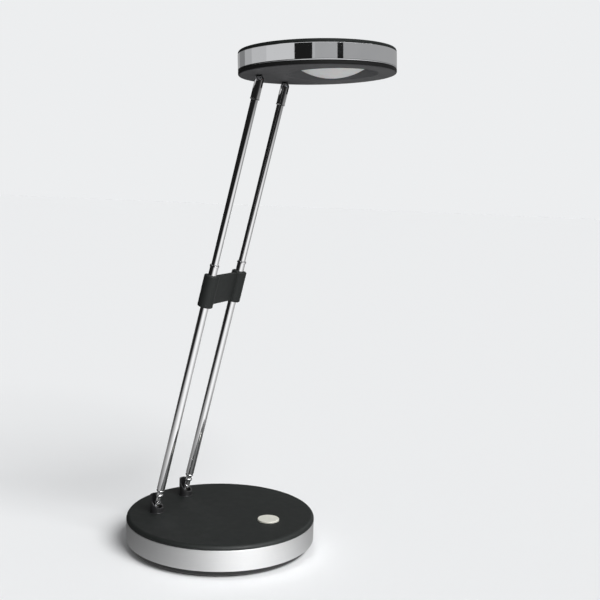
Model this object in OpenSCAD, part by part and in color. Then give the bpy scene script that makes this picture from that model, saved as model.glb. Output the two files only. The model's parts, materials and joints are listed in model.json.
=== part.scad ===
// Desk lamp with a round base, a telescopic arm of two parallel tubes and a round LED head.
// The origin is at the middle of the base's underside; +X is the way the arm leans, +Z is up.

/* [Base] */
// Diameter of the base over its metal band
base_d = 130; // [128:0.5:134]
// Height of the base's flat top above the desk
base_top_z = 22; // [22:0.5:25]
// Height of the metal band's lower edge above the desk
band_z0 = 5; // [4.5:0.1:5.5]
// Radius of the rounded edge round the base's top
top_round = 2.6; // [2:0.1:2.8]
// Thickness of the steel weight inside
ballast_t = 7; // [5:0.5:7]

/* [Arm] */
// Distance between the two tubes' centre lines
rod_gap = 41.4; // [39:0.1:44]
// Lean of the arm from the vertical at rest, in degrees
rod_lean = 13.6; // [5:0.1:20]
// Place of the lower hinge along X
pivot_x = -39.3; // [-40.5:0.1:-38.5]
// Distance from the lower hinge to the upper hinge at full reach
arm_reach = 297.2; // [290:0.1:310]
// Outer diameter of the lower tubes
lower_tube_d = 5.6; // [5.6:0.1:5.8]
// Outer diameter of the upper tubes
upper_tube_d = 4.7; // [4.5:0.1:4.7]
// Place of the lower tubes' upper end along the arm
lower_tube_end = 175.1; // [172:0.1:178]

/* [Head] */
// Diameter of the lamp head over its chrome ring
head_d = 101; // [98:0.5:104]
// Height of the chrome ring
head_ring_h = 10.7; // [10.7:0.1:12]
// Tilt of the head from level at rest, front edge up, in degrees
head_tilt = 2.7; // [0:0.1:5]
// Distance from the upper hinge forward to the head's centre
head_forward = 31.3; // [30:0.1:33]
// Distance from the head's centre forward to the lens's centre
lens_forward = 10.5; // [10:0.1:13]
// How far the domed lens stands below the head's underside
lens_proud = 2.3; // [1.5:0.1:4]

/* [Controls] */
// Diameter of the push button
button_d = 14.8; // [13:0.1:15]
// Place of the push button along X
button_x = 36.2; // [34:0.1:38]
// How far the push button stands above the base's top
button_proud = 1; // [0.8:0.1:1.4]

/* [Hidden] */
$fn = 96;
eps = 0.01;         // overrun of a cut past the face that it opens
cut = 60;           // size of a cutting block that reaches past the small parts
seat = 0.05;        // gap round a piece that sits still in a hole
left = 1;
right = -1;

plastic_black = [0.09, 0.09, 0.09];
plastic_grey = [0.2, 0.2, 0.21];
chrome = [0.8, 0.8, 0.82];
satin = [0.75, 0.76, 0.78];
steel = [0.5, 0.5, 0.52];
brass = [0.75, 0.6, 0.3];
board_green = [0.1, 0.35, 0.2];
white_plastic = [0.92, 0.92, 0.9];
copper = [0.75, 0.4, 0.25];

// Base, outer shells
base_r = base_d / 2;
band_t = 1.3;
band_round = 0.4;
band_z1 = base_top_z - 3;
band_in_r = base_r - band_t;
foot_r = base_r - 3;
foot_round = 1.2;
pan_z = 1;
floor_t = 2;
floor_z = pan_z + floor_t;
skin_t = 2;
skin_z = base_top_z - skin_t;
shell_t = 2;
shell_r = band_in_r - seat;       // outside of the pan's wall and of the cover's skirt
pan_wall_z = band_z1 - 2;
pad_r = 57;
pad_t = 1.4;
pad_recess = pad_t - pan_z;

// Base, screws that hold the cover down
cover_screw_r = 50;
cover_screw_angles = [0, 120, 240];
boss_r = 3.6;
pan_boss_r = 4.4;
pan_boss_z = 6;
screw_head_r = 2.9;
screw_shank_r = 1.45;
small_head_r = 1.9;
small_screw_r = 0.85;
counterbore_z = 4;

// Base, weight and its pegs
ballast_r = 44;
peg_pcd_r = 30;
peg_angles = [60, 180, 300];
peg_r = 2.8;
peg_top = floor_z + ballast_t - 0.6;
peg_screw_head_r = 4.2;
peg_screw_l = 7.5;
ballast_top = floor_z + ballast_t;

// Base, hinge pods
pivot_z = base_top_z + 4.2;
pod_r = 4.6;
pod_bore_r = 3.7;
pod_h = 12.4;
pod_floor_z = base_top_z + 0.6;
pod_flange_r = 7.4;
pod_flange_t = 1.6;
pod_flange_z = skin_z - pod_flange_t;
scoop_r = 11.1;
scoop_x = 7.5;
scoop_z = base_top_z + 14;
pin_r = 0.8;
pin_run = 0.03;                   // running gap round a hinge pin
bracket_t = 2;
bracket_z = pod_flange_z - bracket_t;
bracket_boss_r = 2.5;

// Base, board, switch and button
board_t = 1.6;
board_z = ballast_top + 2.4;
board_top = board_z + board_t;
board_x0 = 4;
board_x1 = 46;
board_half_w = 14;
board_hole_x = [board_x0 + 3.5, board_x1 - 3.5];
button_r = button_d / 2;
button_gap = 0.3;
button_top = base_top_z + button_proud;
button_flange_r = button_r + 1.4;
button_flange_z1 = skin_z - 0.2;
button_flange_z0 = button_flange_z1 - 1;
stem_r = 2;
switch_w = 9;
switch_top = board_top + 2.8;
stem_end = switch_top - 0.8;

// Base, low-voltage inlet at the back
jack_z = 12;
jack_w = 9;
jack_h = 11;
jack_back_x = -51.5;
jack_face_x = -base_r + 3.6;
jack_collar_r = 4.2;
jack_bore_r = 3;
jack_bore_x = -55;
jack_hole_r = jack_collar_r + seat;
jack_pin_r = 1;

// Arm, along the line from the lower hinge to the upper one
lower_r = lower_tube_d / 2;
lower_bore_r = lower_r - 0.3;
upper_r = upper_tube_d / 2;
upper_bore_r = upper_r - 0.3;
ball_r = 2.55;
ball_t = 2.7;
eye_r = 1.7;
ball_stem_r = 1;
bead_a_t = 8.4;
bead_a_r = 2.75;
bead_b_t = 11.9;
bead_b_r = 2.8;
neck_r = 2;
lower_tube_start = 13.4;
spigot_l = 12;
collar_h = 1.5;
collar_lip = 0.5;
clip_t0 = 146;
clip_t1 = 167.8;
barrel_r = 5.15;
barrel_round = 0.8;
web_t0 = 147.1;
web_t1 = 167;
web_half = 1.25;
clip_bore_r = lower_r + 0.02;
upper_tube_start = lower_tube_end - 22;
bush_l = 5;
bush_r = lower_bore_r - 0.04;
sleeve_t0 = arm_reach - 12.6;
sleeve_r = 2.9;
sleeve_bore_r = upper_r + 0.01;
sleeve_bore_end = arm_reach - 6;
slot_w = 2.3;
slot_t0 = arm_reach - 4.6;

// Head, measured from the middle of the chrome ring's lower edge
head_r = head_d / 2;
ring_t = 1;
ring_in_r = head_r - ring_t;
rim_h = 2.6;                      // dark rim below the chrome ring
under_z = -rim_h;
rim_round = 1.1;
cap_h = 2;                        // dark cover above the chrome ring
cap_top = head_ring_h + cap_h;
cap_round = 1.6;
cap_r = head_r - 0.1;
head_wall = 1.8;
skirt_r = ring_in_r - seat;
skirt_join = 6;                   // where the two covers meet inside the ring
pin_drop = 3.2;                   // upper hinge below the head's underside
dish_r = 29.2;
dish_in_r = 25;
dish_in_z = under_z + 5.6;
seat_r = 24.6;
seat_z = dish_in_z + 0.6;
lens_sphere_r = 40;
lens_apex_z = under_z - lens_proud;
lens_t = 1.6;
lens_flange_r = 26.6;
lens_flange_t = 1.2;
lens_z1 = seat_z + lens_flange_t;
collar_in_r = 27;
reflector_t = 1.2;
reflector_top_r = 24.8;
wire_notch_x = 27.5;              // notches in the reflector that the wires pass through
wire_notch_y = 9.3;
wire_notch_w = 4;
plate_r = 38;
plate_z = 9;
plate_t = 1.5;
led_board_r = 23;
led_board_t = 1;
led_board_z = plate_z - led_board_t;
led_size = 3;
led_h = 0.7;
led_rings = [[0, 1], [8, 6], [16, 12]];   // radius and number of lights in each ring
post_r = 2.6;
post_pcd_r = 33.5;
post_angles = [75, 180, 285];
tongue_w = 3.4;
tongue_t = slot_w - 0.3;
lug_foot_r = 3.6;
lug_x = -head_forward;

// A round bar between two heights
module rod(r, z0, z1) {
    translate([0, 0, z0]) cylinder(h = z1 - z0, r = r);
}

// A round tube between two heights
module tube(r_out, r_in, z0, z1) {
    difference() {
        rod(r_out, z0, z1);
        rod(r_in, z0 - eps, z1 + eps);
    }
}

// Child copied to each angle at one radius
module around(r, angles) {
    for (a = angles) rotate(a) translate([r, 0, 0]) children();
}

// Frame of the arm: Z runs from the lower hinge to the upper one, at full reach
module on_arm() {
    translate([pivot_x, 0, pivot_z]) rotate([0, rod_lean, 0]) children();
}

module on_rod(side) {
    on_arm() translate([0, side * rod_gap / 2, 0]) children();
}

// Frame of the head: its origin is the middle of the chrome ring's lower edge
module on_head() {
    on_arm() translate([0, 0, arm_reach]) rotate([0, -rod_lean - head_tilt, 0])
        translate([head_forward, 0, pin_drop + rim_h]) children();
}

module at_pod(side) {
    translate([pivot_x, side * rod_gap / 2, 0]) children();
}

module at_board_holes() {
    for (x = board_hole_x) for (s = [left, right])
        translate([x, s * (board_half_w - 3), 0]) children();
}

module at_bracket_holes() {
    for (s = [left, right]) translate([pivot_x + 4.5, s * (rod_gap / 2 - 9), 0]) children();
}

// Cross pin centred on the hinge line
module cross_bar(r, l) {
    rotate([90, 0, 0]) cylinder(h = l, r = r, center = true);
}

// Screw with its head at z0 and its shank up to z1
module screw(head_r, head_h, shank_r, z0, z1) {
    rod(head_r, z0, z0 + head_h);
    rod(shank_r, z0 + head_h - eps, z1);
}

// One insulated wire: an eight-sided tube swept through a list of points
function unit(v) = v / norm(v);
function along(p, i) = unit(p[min(i + 1, len(p) - 1)] - p[max(i - 1, 0)]);

module wire(points, r) {
    n = 8;
    last = len(points) - 1;
    rings = [for (i = [0 : last]) let (t = along(points, i), u = unit(cross(t, [0, 0, 1])), v = cross(u, t))
        for (k = [0 : n - 1]) points[i] + r * (u * cos(360 * k / n) + v * sin(360 * k / n))];
    sides = [for (i = [0 : last - 1]) for (k = [0 : n - 1])
        let (a = i * n + k, b = i * n + (k + 1) % n) each [[a, b, b + n], [a, b + n, a + n]]];
    start = [for (k = [n - 1 : -1 : 0]) k];
    end = [for (k = [0 : n - 1]) last * n + k];
    polyhedron(rings, concat(sides, [start], [end]));
}

// Base

module bottom_pan() {
    color(plastic_black) difference() {
        union() {
            rotate_extrude() polygon([[0, pan_z], [foot_r - foot_round, pan_z],
                [foot_r, pan_z + foot_round], [foot_r, band_z0], [shell_r, band_z0],
                [shell_r, pan_wall_z], [shell_r - shell_t, pan_wall_z],
                [shell_r - shell_t, floor_z], [0, floor_z]]);
            around(cover_screw_r, cover_screw_angles) rod(pan_boss_r, floor_z - eps, pan_boss_z);
            around(peg_pcd_r, peg_angles) rod(peg_r, floor_z - eps, peg_top);
            translate([jack_face_x + 1, -jack_w / 2, floor_z - eps])
                cube([jack_back_x - jack_face_x - 2, jack_w, jack_z - jack_h / 2 - floor_z + eps]);
        }
        rod(pad_r + seat, pan_z - 1, pan_z + pad_recess);
        around(cover_screw_r, cover_screw_angles) {
            rod(screw_head_r + 0.3, pan_z - 1, counterbore_z);
            rod(screw_shank_r + 0.2, pan_z, pan_boss_z + 1);
        }
        around(peg_pcd_r, peg_angles) rod(screw_shank_r, floor_z + 1, peg_top + 1);
        translate([-base_r, 0, jack_z]) rotate([0, 90, 0]) cylinder(h = 8, r = jack_hole_r);
    }
}

module foot_pad() {
    color(plastic_grey) difference() {
        rod(pad_r, 0, pad_t);
        around(cover_screw_r, cover_screw_angles) rod(screw_head_r + 0.9, -1, pad_t + 1);
        for (r = [20, 32, 44]) tube(r + 0.6, r, -eps, 0.4);
    }
}

module trim_band() {
    color(satin) difference() {
        rotate_extrude() {
            translate([band_in_r, band_z0 + band_round])
                square([band_t, band_z1 - band_z0 - 2 * band_round]);
            translate([band_in_r, band_z0]) square([band_t - band_round, band_z1 - band_z0]);
            for (z = [band_z0 + band_round, band_z1 - band_round])
                translate([base_r - band_round, z]) circle(r = band_round);
        }
        translate([-base_r - 1, 0, jack_z]) rotate([0, 90, 0]) cylinder(h = 8, r = jack_hole_r);
    }
}

module top_cover() {
    color(plastic_black) difference() {
        union() {
            rotate_extrude() {
                translate([0, skin_z]) square([base_r - top_round, skin_t]);
                translate([shell_r - shell_t, pan_wall_z]) square([shell_t, skin_z - pan_wall_z + 1]);
                difference() {
                    translate([base_r - top_round, base_top_z - top_round]) circle(r = top_round);
                    translate([shell_r, 0]) square([base_r, band_z1]);
                    square([base_r, skin_z - 1]);
                }
                translate([shell_r - eps, band_z1]) square([base_r - shell_r + eps,
                    base_top_z - top_round - band_z1]);
            }
            around(cover_screw_r, cover_screw_angles) rod(boss_r, pan_boss_z, skin_z + eps);
            at_board_holes() rod(2.4, board_top, skin_z + eps);
            at_bracket_holes() rod(bracket_boss_r, pod_flange_z, skin_z + eps);
        }
        around(cover_screw_r, cover_screw_angles) rod(screw_shank_r, pan_boss_z - 1, skin_z - 4);
        at_board_holes() rod(small_screw_r + seat, board_top - 1, skin_z - 0.5);
        at_bracket_holes() rod(small_screw_r + seat, pod_flange_z - 1, base_top_z - 0.8);
        translate([button_x, 0, 0]) rod(button_r + button_gap, skin_z - 1, base_top_z + 1);
        for (s = [left, right]) at_pod(s) rod(pod_r + seat, skin_z - 1, base_top_z + 1);
    }
}

module ballast() {
    color(steel) difference() {
        rod(ballast_r, floor_z, ballast_top);
        around(peg_pcd_r, peg_angles) rod(peg_r + 0.15, floor_z - 1, ballast_top + 1);
    }
}

module ballast_screws() {
    color(steel) around(peg_pcd_r, peg_angles)
        translate([0, 0, ballast_top + 1.8]) mirror([0, 0, 1]) difference() {
            screw(peg_screw_head_r, 1.8, screw_shank_r - seat, 0, peg_screw_l);
            translate([-0.4, -cut / 2, -eps]) cube([0.8, cut, 0.9]);
        }
}

module cover_screws() {
    color(steel) around(cover_screw_r, cover_screw_angles) difference() {
        screw(screw_head_r, 1.9, screw_shank_r - seat, counterbore_z - 1.9, 14);
        for (a = [0, 90]) rotate(a) translate([-1.9, -0.35, counterbore_z - 2]) cube([3.8, 0.7, 1.2]);
    }
}

module pivot_bracket() {
    color(steel) difference() {
        translate([pivot_x - 7, -rod_gap / 2 - 9, bracket_z]) cube([14, rod_gap + 18, bracket_t]);
        for (s = [left, right]) at_pod(s) rod(screw_shank_r + 0.1, bracket_z - 1, bracket_z + 4);
        at_bracket_holes() rod(small_screw_r + 0.3, bracket_z - 1, bracket_z + 4);
    }
}

module bracket_screws() {
    color(steel) {
        for (s = [left, right]) at_pod(s) difference() {
            screw(screw_head_r, 1.8, screw_shank_r - seat, bracket_z - 1.8, pod_floor_z - 2.4);
            translate([-0.35, -cut / 2, bracket_z - 1.9]) cube([0.7, cut, 0.9]);
        }
        at_bracket_holes() screw(small_head_r, 1.2, small_screw_r, bracket_z - 1.2, base_top_z - 1);
    }
}

module pivot_pod(side) {
    color(plastic_black) at_pod(side) difference() {
        union() {
            rod(pod_r, pod_flange_z, base_top_z + pod_h);
            rod(pod_flange_r, pod_flange_z, skin_z);
        }
        rod(pod_bore_r, pod_floor_z, base_top_z + pod_h + 1);
        translate([scoop_x, 0, scoop_z]) cross_bar(scoop_r, cut);
        translate([0, 0, pivot_z]) cross_bar(pin_r, cut);
        rod(screw_shank_r, pod_flange_z - 1, pod_floor_z - 2.2);
        rod(1.1, pod_floor_z - 1.6, pod_floor_z + 1);
    }
}

module pivot_pin(side) {
    color(steel) at_pod(side) translate([0, 0, pivot_z]) cross_bar(pin_r - 0.01, 2 * pod_r - 1.2);
}

// Sprung contact under each rod end, which feeds the tube with current
module contact(side) {
    color(brass) at_pod(side) {
        rod(1, pod_floor_z - 1.6, pod_floor_z);
        rod(1.6, pod_floor_z, pivot_z - eye_r - 0.3);
    }
}

module driver_board() {
    color(board_green) difference() {
        translate([board_x0, -board_half_w, board_z])
            cube([board_x1 - board_x0, 2 * board_half_w, board_t]);
        at_board_holes() rod(small_screw_r + 0.2, board_z - 1, board_top + 1);
    }
}

module driver_parts() {
    color(plastic_grey) translate([0, 0, board_top]) {
        translate([15, 6, 0]) cylinder(h = 4.2, r = 3.2);
        translate([15, -6, 0]) cylinder(h = 4.2, r = 2.5);
        translate([20, -3, 0]) cube([5, 6, 1.6]);
        translate([24, 6, 0]) cube([4, 3, 1.2]);
        translate([24, -9, 0]) cube([4, 3, 1.2]);
    }
}

module driver_screws() {
    color(steel) at_board_holes()
        screw(small_head_r, 1.2, small_screw_r, board_z - 1.2, skin_z - 2);
}

module switch_body() {
    color(plastic_grey) translate([button_x, 0, 0]) difference() {
        translate([-switch_w / 2, -switch_w / 2, board_top])
            cube([switch_w, switch_w, switch_top - board_top]);
        rod(stem_r + 0.1, board_top + 0.5, switch_top + 1);
    }
}

module dc_jack() {
    color(plastic_grey) difference() {
        union() {
            translate([jack_face_x, -jack_w / 2, jack_z - jack_h / 2])
                cube([jack_back_x - jack_face_x, jack_w, jack_h]);
            translate([-base_r + 0.1, 0, jack_z]) rotate([0, 90, 0])
                cylinder(h = jack_face_x + base_r, r = jack_collar_r);
        }
        translate([-base_r - 1, 0, jack_z]) rotate([0, 90, 0])
            cylinder(h = jack_bore_x + base_r + 1, r = jack_bore_r);
        translate([jack_bore_x - 1, 0, jack_z]) rotate([0, 90, 0]) cylinder(h = 3, r = jack_pin_r);
    }
}

module dc_pin() {
    color(brass) translate([-base_r + 1.2, 0, jack_z]) rotate([0, 90, 0])
        cylinder(h = jack_bore_x + 2 - (-base_r + 1.2), r = jack_pin_r - 0.02);
}

// Insulated leads from the inlet to the board and from the board to the two pods
module base_wires() {
    z = board_top + 0.9;
    color(copper) for (s = [left, right]) {
        wire([[jack_back_x + 0.6, s * 2.5, z], [-30, s * 5, z], [board_x0 + 1, s * 5, z]], 0.6);
        wire([[pivot_x + 4, s * 15, bracket_z - 1], [-20, s * 11, z], [board_x0 + 1, s * 9, z]], 0.6);
    }
}

module button_cap() {
    color(satin) translate([button_x, 0, 0]) {
        rotate_extrude() {
            translate([0, button_flange_z1]) square([button_r - 0.5, button_top - button_flange_z1]);
            translate([0, button_flange_z1]) square([button_r, button_top - 0.5 - button_flange_z1]);
            intersection() {
                translate([button_r - 0.5, button_top - 0.5]) circle(r = 0.5);
                square([button_r, button_top]);
            }
        }
        rod(button_flange_r, button_flange_z0, button_flange_z1 + eps);
        rod(stem_r, stem_end, button_flange_z0 + eps);
    }
}

module button_spring() {
    turns = 2;
    coil_r = 3.2;
    wire_r = 0.25;
    rise = button_flange_z0 - switch_top - 2 * wire_r - 0.1;
    color(steel) translate([button_x, 0, switch_top + wire_r])
        for (i = [0 : turns]) translate([0, 0, rise * i / turns])
            rotate_extrude() translate([coil_r, 0]) circle(r = wire_r, $fn = 16);
}

// Lower arm

module rod_end(side) {
    color(chrome) on_rod(side) difference() {
        rotate_extrude() intersection() {
            union() {
                circle(r = eye_r);
                translate([0, ball_t]) circle(r = ball_r);
                square([ball_stem_r, ball_t]);
                translate([0, ball_t]) square([neck_r, lower_tube_start - ball_t]);
                translate([0, bead_a_t]) scale([1, 0.62]) circle(r = bead_a_r);
                translate([0, bead_b_t]) scale([1, 0.5]) circle(r = bead_b_r);
                translate([0, bead_b_t]) square([lower_r - 0.3, lower_tube_start - bead_b_t]);
                translate([0, lower_tube_start - 1]) square([lower_bore_r - 0.02, spigot_l + 1]);
            }
            translate([0, -cut / 2]) square([cut, 2 * cut]);
        }
        cross_bar(pin_r + pin_run, cut);
    }
}

module lower_tube(side) {
    color(chrome) on_rod(side) tube(lower_r, lower_bore_r, lower_tube_start, lower_tube_end - collar_lip);
}

// Rolled collar that closes the lower tube round the upper one
module tube_collar(side) {
    color(chrome) on_rod(side) {
        tube(lower_r + 0.3, lower_r, lower_tube_end - collar_h, lower_tube_end - collar_lip + eps);
        tube(lower_r + 0.3, upper_r + 0.05, lower_tube_end - collar_lip, lower_tube_end);
    }
}

module barrel_outline() {
    translate([0, clip_t0 + barrel_round])
        square([barrel_r, clip_t1 - clip_t0 - 2 * barrel_round]);
    translate([0, clip_t0]) square([barrel_r - barrel_round, clip_t1 - clip_t0]);
    for (t = [clip_t0 + barrel_round, clip_t1 - barrel_round])
        translate([barrel_r - barrel_round, t]) circle(r = barrel_round);
}

module bridge_clip() {
    color(plastic_black) on_arm() difference() {
        union() {
            for (s = [left, right]) translate([0, s * rod_gap / 2, 0]) rotate_extrude() barrel_outline();
            translate([-web_half, -rod_gap / 2, web_t0]) cube([2 * web_half, rod_gap, web_t1 - web_t0]);
        }
        for (s = [left, right]) translate([0, s * rod_gap / 2, 0]) rod(clip_bore_r, 0, arm_reach);
    }
}

// Upper arm, which slides in the lower one

module guide_bush(side) {
    color(brass) on_rod(side) {
        rod(bush_r, upper_tube_start - bush_l, upper_tube_start);
        rod(upper_bore_r - 0.02, upper_tube_start - eps, upper_tube_start + 8);
    }
}

module upper_tube(side) {
    color(chrome) on_rod(side) tube(upper_r, upper_bore_r, upper_tube_start, sleeve_bore_end - 0.2);
}

module fork_sleeve(side) {
    color(chrome) on_rod(side) difference() {
        union() {
            rod(sleeve_r, sleeve_t0 + 0.8, arm_reach);
            rod(sleeve_r + 0.15, sleeve_t0, sleeve_t0 + 0.8);
            translate([0, 0, arm_reach]) sphere(r = sleeve_r);
        }
        rod(sleeve_bore_r, sleeve_t0 - 1, sleeve_bore_end);
        translate([-cut / 2, -slot_w / 2, slot_t0]) cube([cut, slot_w, cut]);
        translate([0, 0, arm_reach]) cross_bar(pin_r, cut);
    }
}

module fork_pin(side) {
    color(steel) on_rod(side) translate([0, 0, arm_reach]) cross_bar(pin_r - 0.01, 2 * sleeve_r - 0.6);
}

// Head

module head_top_cover() {
    color(plastic_black) on_head() difference() {
        union() {
            rotate_extrude() {
                translate([0, cap_top - head_wall]) square([cap_r - cap_round, head_wall]);
                translate([cap_r - cap_round - 1, head_ring_h])
                    square([cap_round + 1, cap_top - cap_round - head_ring_h]);
                difference() {
                    translate([cap_r - cap_round, cap_top - cap_round]) circle(r = cap_round);
                    translate([0, head_ring_h - cap_h]) square([cap_r, cap_h]);
                }
                translate([skirt_r - head_wall, skirt_join])
                    square([head_wall, cap_top - 1 - skirt_join]);
            }
            around(post_pcd_r, post_angles) rod(post_r, plate_z + plate_t, cap_top - 1);
        }
        around(post_pcd_r, post_angles) rod(1, plate_z - 1, cap_top - 1.1);
    }
}

module head_ring() {
    color(chrome) on_head() rotate_extrude() {
        translate([ring_in_r, 0]) square([ring_t - 0.3, head_ring_h]);
        translate([ring_in_r, 0.3]) square([ring_t, head_ring_h - 0.6]);
        for (z = [0.3, head_ring_h - 0.3]) translate([head_r - 0.3, z]) circle(r = 0.3);
    }
}

module head_bottom_cover() {
    color(plastic_grey) on_head() difference() {
        union() {
            rotate_extrude() {
                translate([0, under_z]) square([head_r - rim_round, head_wall]);
                translate([head_r - rim_round - 1, under_z + rim_round])
                    square([rim_round + 1, rim_h - rim_round]);
                intersection() {
                    translate([head_r - rim_round, under_z + rim_round]) circle(r = rim_round);
                    translate([0, under_z]) square([head_r, rim_h]);
                }
                translate([skirt_r - head_wall, under_z + 1])
                    square([head_wall, skirt_join - under_z - 1]);
            }
            translate([lens_forward, 0, 0]) {
                rod(dish_r + 0.6, under_z + 0.5, under_z + head_wall);
                translate([0, 0, under_z + 0.5])
                    cylinder(h = seat_z - under_z - 0.5, r1 = dish_r + 1.2, r2 = collar_in_r + 1.4);
                rod(collar_in_r + 1.4, seat_z - 1, seat_z + 1.6);
            }
        }
        translate([lens_forward, 0, 0]) {
            translate([0, 0, under_z]) cylinder(h = dish_in_z - under_z, r1 = dish_r, r2 = dish_in_r);
            rod(dish_r, under_z - 1, under_z + eps);
            rod(seat_r, dish_in_z - eps, seat_z + 1);
            rod(lens_flange_r + 0.15, seat_z, seat_z + 3);
        }
        for (s = [left, right]) translate([lug_x, s * rod_gap / 2, under_z - 1])
            translate([-tongue_w / 2 - seat, -tongue_t / 2 - seat, 0])
            cube([tongue_w + 2 * seat, tongue_t + 2 * seat, head_wall + 2]);
    }
}

module diffuser_lens() {
    centre_z = lens_apex_z + lens_sphere_r;
    color(white_plastic) on_head() translate([lens_forward, 0, 0]) difference() {
        union() {
            rod(lens_flange_r, seat_z, lens_z1);
            intersection() {
                translate([0, 0, centre_z]) sphere(r = lens_sphere_r);
                rod(seat_r - 0.15, lens_apex_z - 1, lens_z1);
            }
        }
        intersection() {
            translate([0, 0, centre_z]) sphere(r = lens_sphere_r - lens_t);
            rod(seat_r - 2, lens_apex_z, lens_z1 + 1);
        }
        rod(seat_r - 2.2, seat_z, lens_z1 + 1);
    }
}

module reflector() {
    color(white_plastic) on_head() translate([lens_forward, 0, 0]) difference() {
        translate([0, 0, lens_z1])
            cylinder(h = plate_z - lens_z1, r1 = lens_flange_r, r2 = reflector_top_r);
        translate([0, 0, lens_z1 - eps]) cylinder(h = plate_z - lens_z1 + 2 * eps,
            r1 = lens_flange_r - reflector_t, r2 = reflector_top_r - reflector_t);
        for (s = [left, right]) translate([-wire_notch_x, s * wire_notch_y - wire_notch_w / 2, plate_z - 3])
            cube([6, wire_notch_w, 4]);
    }
}

module led_board() {
    color(white_plastic) on_head() translate([lens_forward, 0, 0])
        rod(led_board_r, led_board_z, led_board_z + led_board_t);
}

module led_chips() {
    color("gold") on_head() translate([lens_forward, 0, led_board_z - led_h])
        for (ring = led_rings) for (i = [0 : ring[1] - 1]) rotate(360 * i / ring[1])
            translate([ring[0] - led_size / 2, -led_size / 2, 0]) cube([led_size, led_size, led_h]);
}

module heat_plate() {
    color(satin) on_head() difference() {
        rod(plate_r, plate_z, plate_z + plate_t);
        around(post_pcd_r, post_angles) rod(1.3, plate_z - 1, plate_z + plate_t + 1);
    }
}

module heat_plate_screws() {
    color(steel) on_head() around(post_pcd_r, post_angles)
        screw(2, 1.2, 0.95, plate_z - 1.2, cap_top - 1.3);
}

module head_lug(side) {
    color(plastic_black) on_head() translate([lug_x, side * rod_gap / 2, 0]) difference() {
        union() {
            translate([-tongue_w / 2, -tongue_t / 2, under_z - pin_drop])
                cube([tongue_w, tongue_t, pin_drop + head_wall + 1]);
            translate([0, 0, under_z - pin_drop]) cross_bar(tongue_w / 2, tongue_t);
            rod(lug_foot_r, under_z + head_wall, under_z + head_wall + 1.6);
        }
        translate([0, 0, under_z - pin_drop]) cross_bar(pin_r + pin_run, cut);
    }
}

module lug_screws() {
    color(steel) on_head() for (s = [left, right]) for (d = [-1, 1])
        translate([lug_x, s * (rod_gap / 2 + d * 2.3), under_z + head_wall + 1.6]) rod(0.9, 0, 0.8);
}

module head_wires() {
    z = under_z + head_wall + 3.4;
    color(copper) on_head() for (s = [left, right])
        wire([[lug_x, s * rod_gap / 2, z - 0.4], [lug_x + 4, s * 17, z + 3.4],
            [lens_forward - led_board_r + 1, s * 8, led_board_z - 0.8]], 0.6);
}

bottom_pan();
foot_pad();
trim_band();
top_cover();
ballast();
ballast_screws();
cover_screws();
pivot_bracket();
bracket_screws();
pivot_pod(left);  // pivot_pod_left
pivot_pod(right);  // pivot_pod_right
pivot_pin(left);  // pivot_pin_left
pivot_pin(right);  // pivot_pin_right
contact(left);  // contact_left
contact(right);  // contact_right
driver_board();
driver_parts();
driver_screws();
switch_body();
dc_jack();
dc_pin();
base_wires();
button_cap();
button_spring();
rod_end(left);  // rod_end_left
rod_end(right);  // rod_end_right
lower_tube(left);  // lower_tube_left
lower_tube(right);  // lower_tube_right
tube_collar(left);  // tube_collar_left
tube_collar(right);  // tube_collar_right
bridge_clip();
guide_bush(left);  // guide_bush_left
guide_bush(right);  // guide_bush_right
upper_tube(left);  // upper_tube_left
upper_tube(right);  // upper_tube_right
fork_sleeve(left);  // fork_sleeve_left
fork_sleeve(right);  // fork_sleeve_right
fork_pin(left);  // fork_pin_left
fork_pin(right);  // fork_pin_right
head_top_cover();
head_ring();
head_bottom_cover();
diffuser_lens();
reflector();
led_board();
led_chips();
heat_plate();
heat_plate_screws();
head_lug(left);  // head_lug_left
head_lug(right);  // head_lug_right
lug_screws();
head_wires();
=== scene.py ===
import json
import math
import bpy
from mathutils import Matrix, Vector


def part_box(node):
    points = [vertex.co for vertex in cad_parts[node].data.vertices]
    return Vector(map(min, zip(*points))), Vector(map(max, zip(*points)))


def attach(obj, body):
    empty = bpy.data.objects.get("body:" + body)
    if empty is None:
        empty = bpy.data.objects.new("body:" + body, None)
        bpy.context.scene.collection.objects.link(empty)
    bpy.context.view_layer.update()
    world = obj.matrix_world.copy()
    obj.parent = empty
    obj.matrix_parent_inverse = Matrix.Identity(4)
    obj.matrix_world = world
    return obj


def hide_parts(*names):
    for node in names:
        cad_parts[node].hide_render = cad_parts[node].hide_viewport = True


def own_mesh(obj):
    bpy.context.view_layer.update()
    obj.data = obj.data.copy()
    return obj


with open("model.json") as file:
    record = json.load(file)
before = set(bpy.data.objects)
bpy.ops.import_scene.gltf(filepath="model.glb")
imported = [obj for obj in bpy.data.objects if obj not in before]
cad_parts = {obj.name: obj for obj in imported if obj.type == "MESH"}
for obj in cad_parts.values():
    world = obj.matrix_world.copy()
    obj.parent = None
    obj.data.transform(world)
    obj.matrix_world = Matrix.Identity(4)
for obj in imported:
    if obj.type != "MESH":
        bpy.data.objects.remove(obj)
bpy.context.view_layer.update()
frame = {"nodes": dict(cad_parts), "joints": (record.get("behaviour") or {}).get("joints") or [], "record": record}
mm = 0.001
print("frame loaded")

joints = {joint["name"]: joint for joint in frame["joints"]}
armFoot = Vector(joints["base_tilt"]["pos_m"])     # lower hinge line
armTop = Vector(joints["head_tilt"]["pos_m"])      # upper hinge line
armLine = armTop - armFoot
armLean = math.atan2(armLine.x, armLine.z)
armReach = armLine.length / mm


def middle(node):
    low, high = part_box(node)
    return (low + high) / 2


def width(node, axis=0):
    low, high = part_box(node)
    return (high[axis] - low[axis]) / mm


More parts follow.
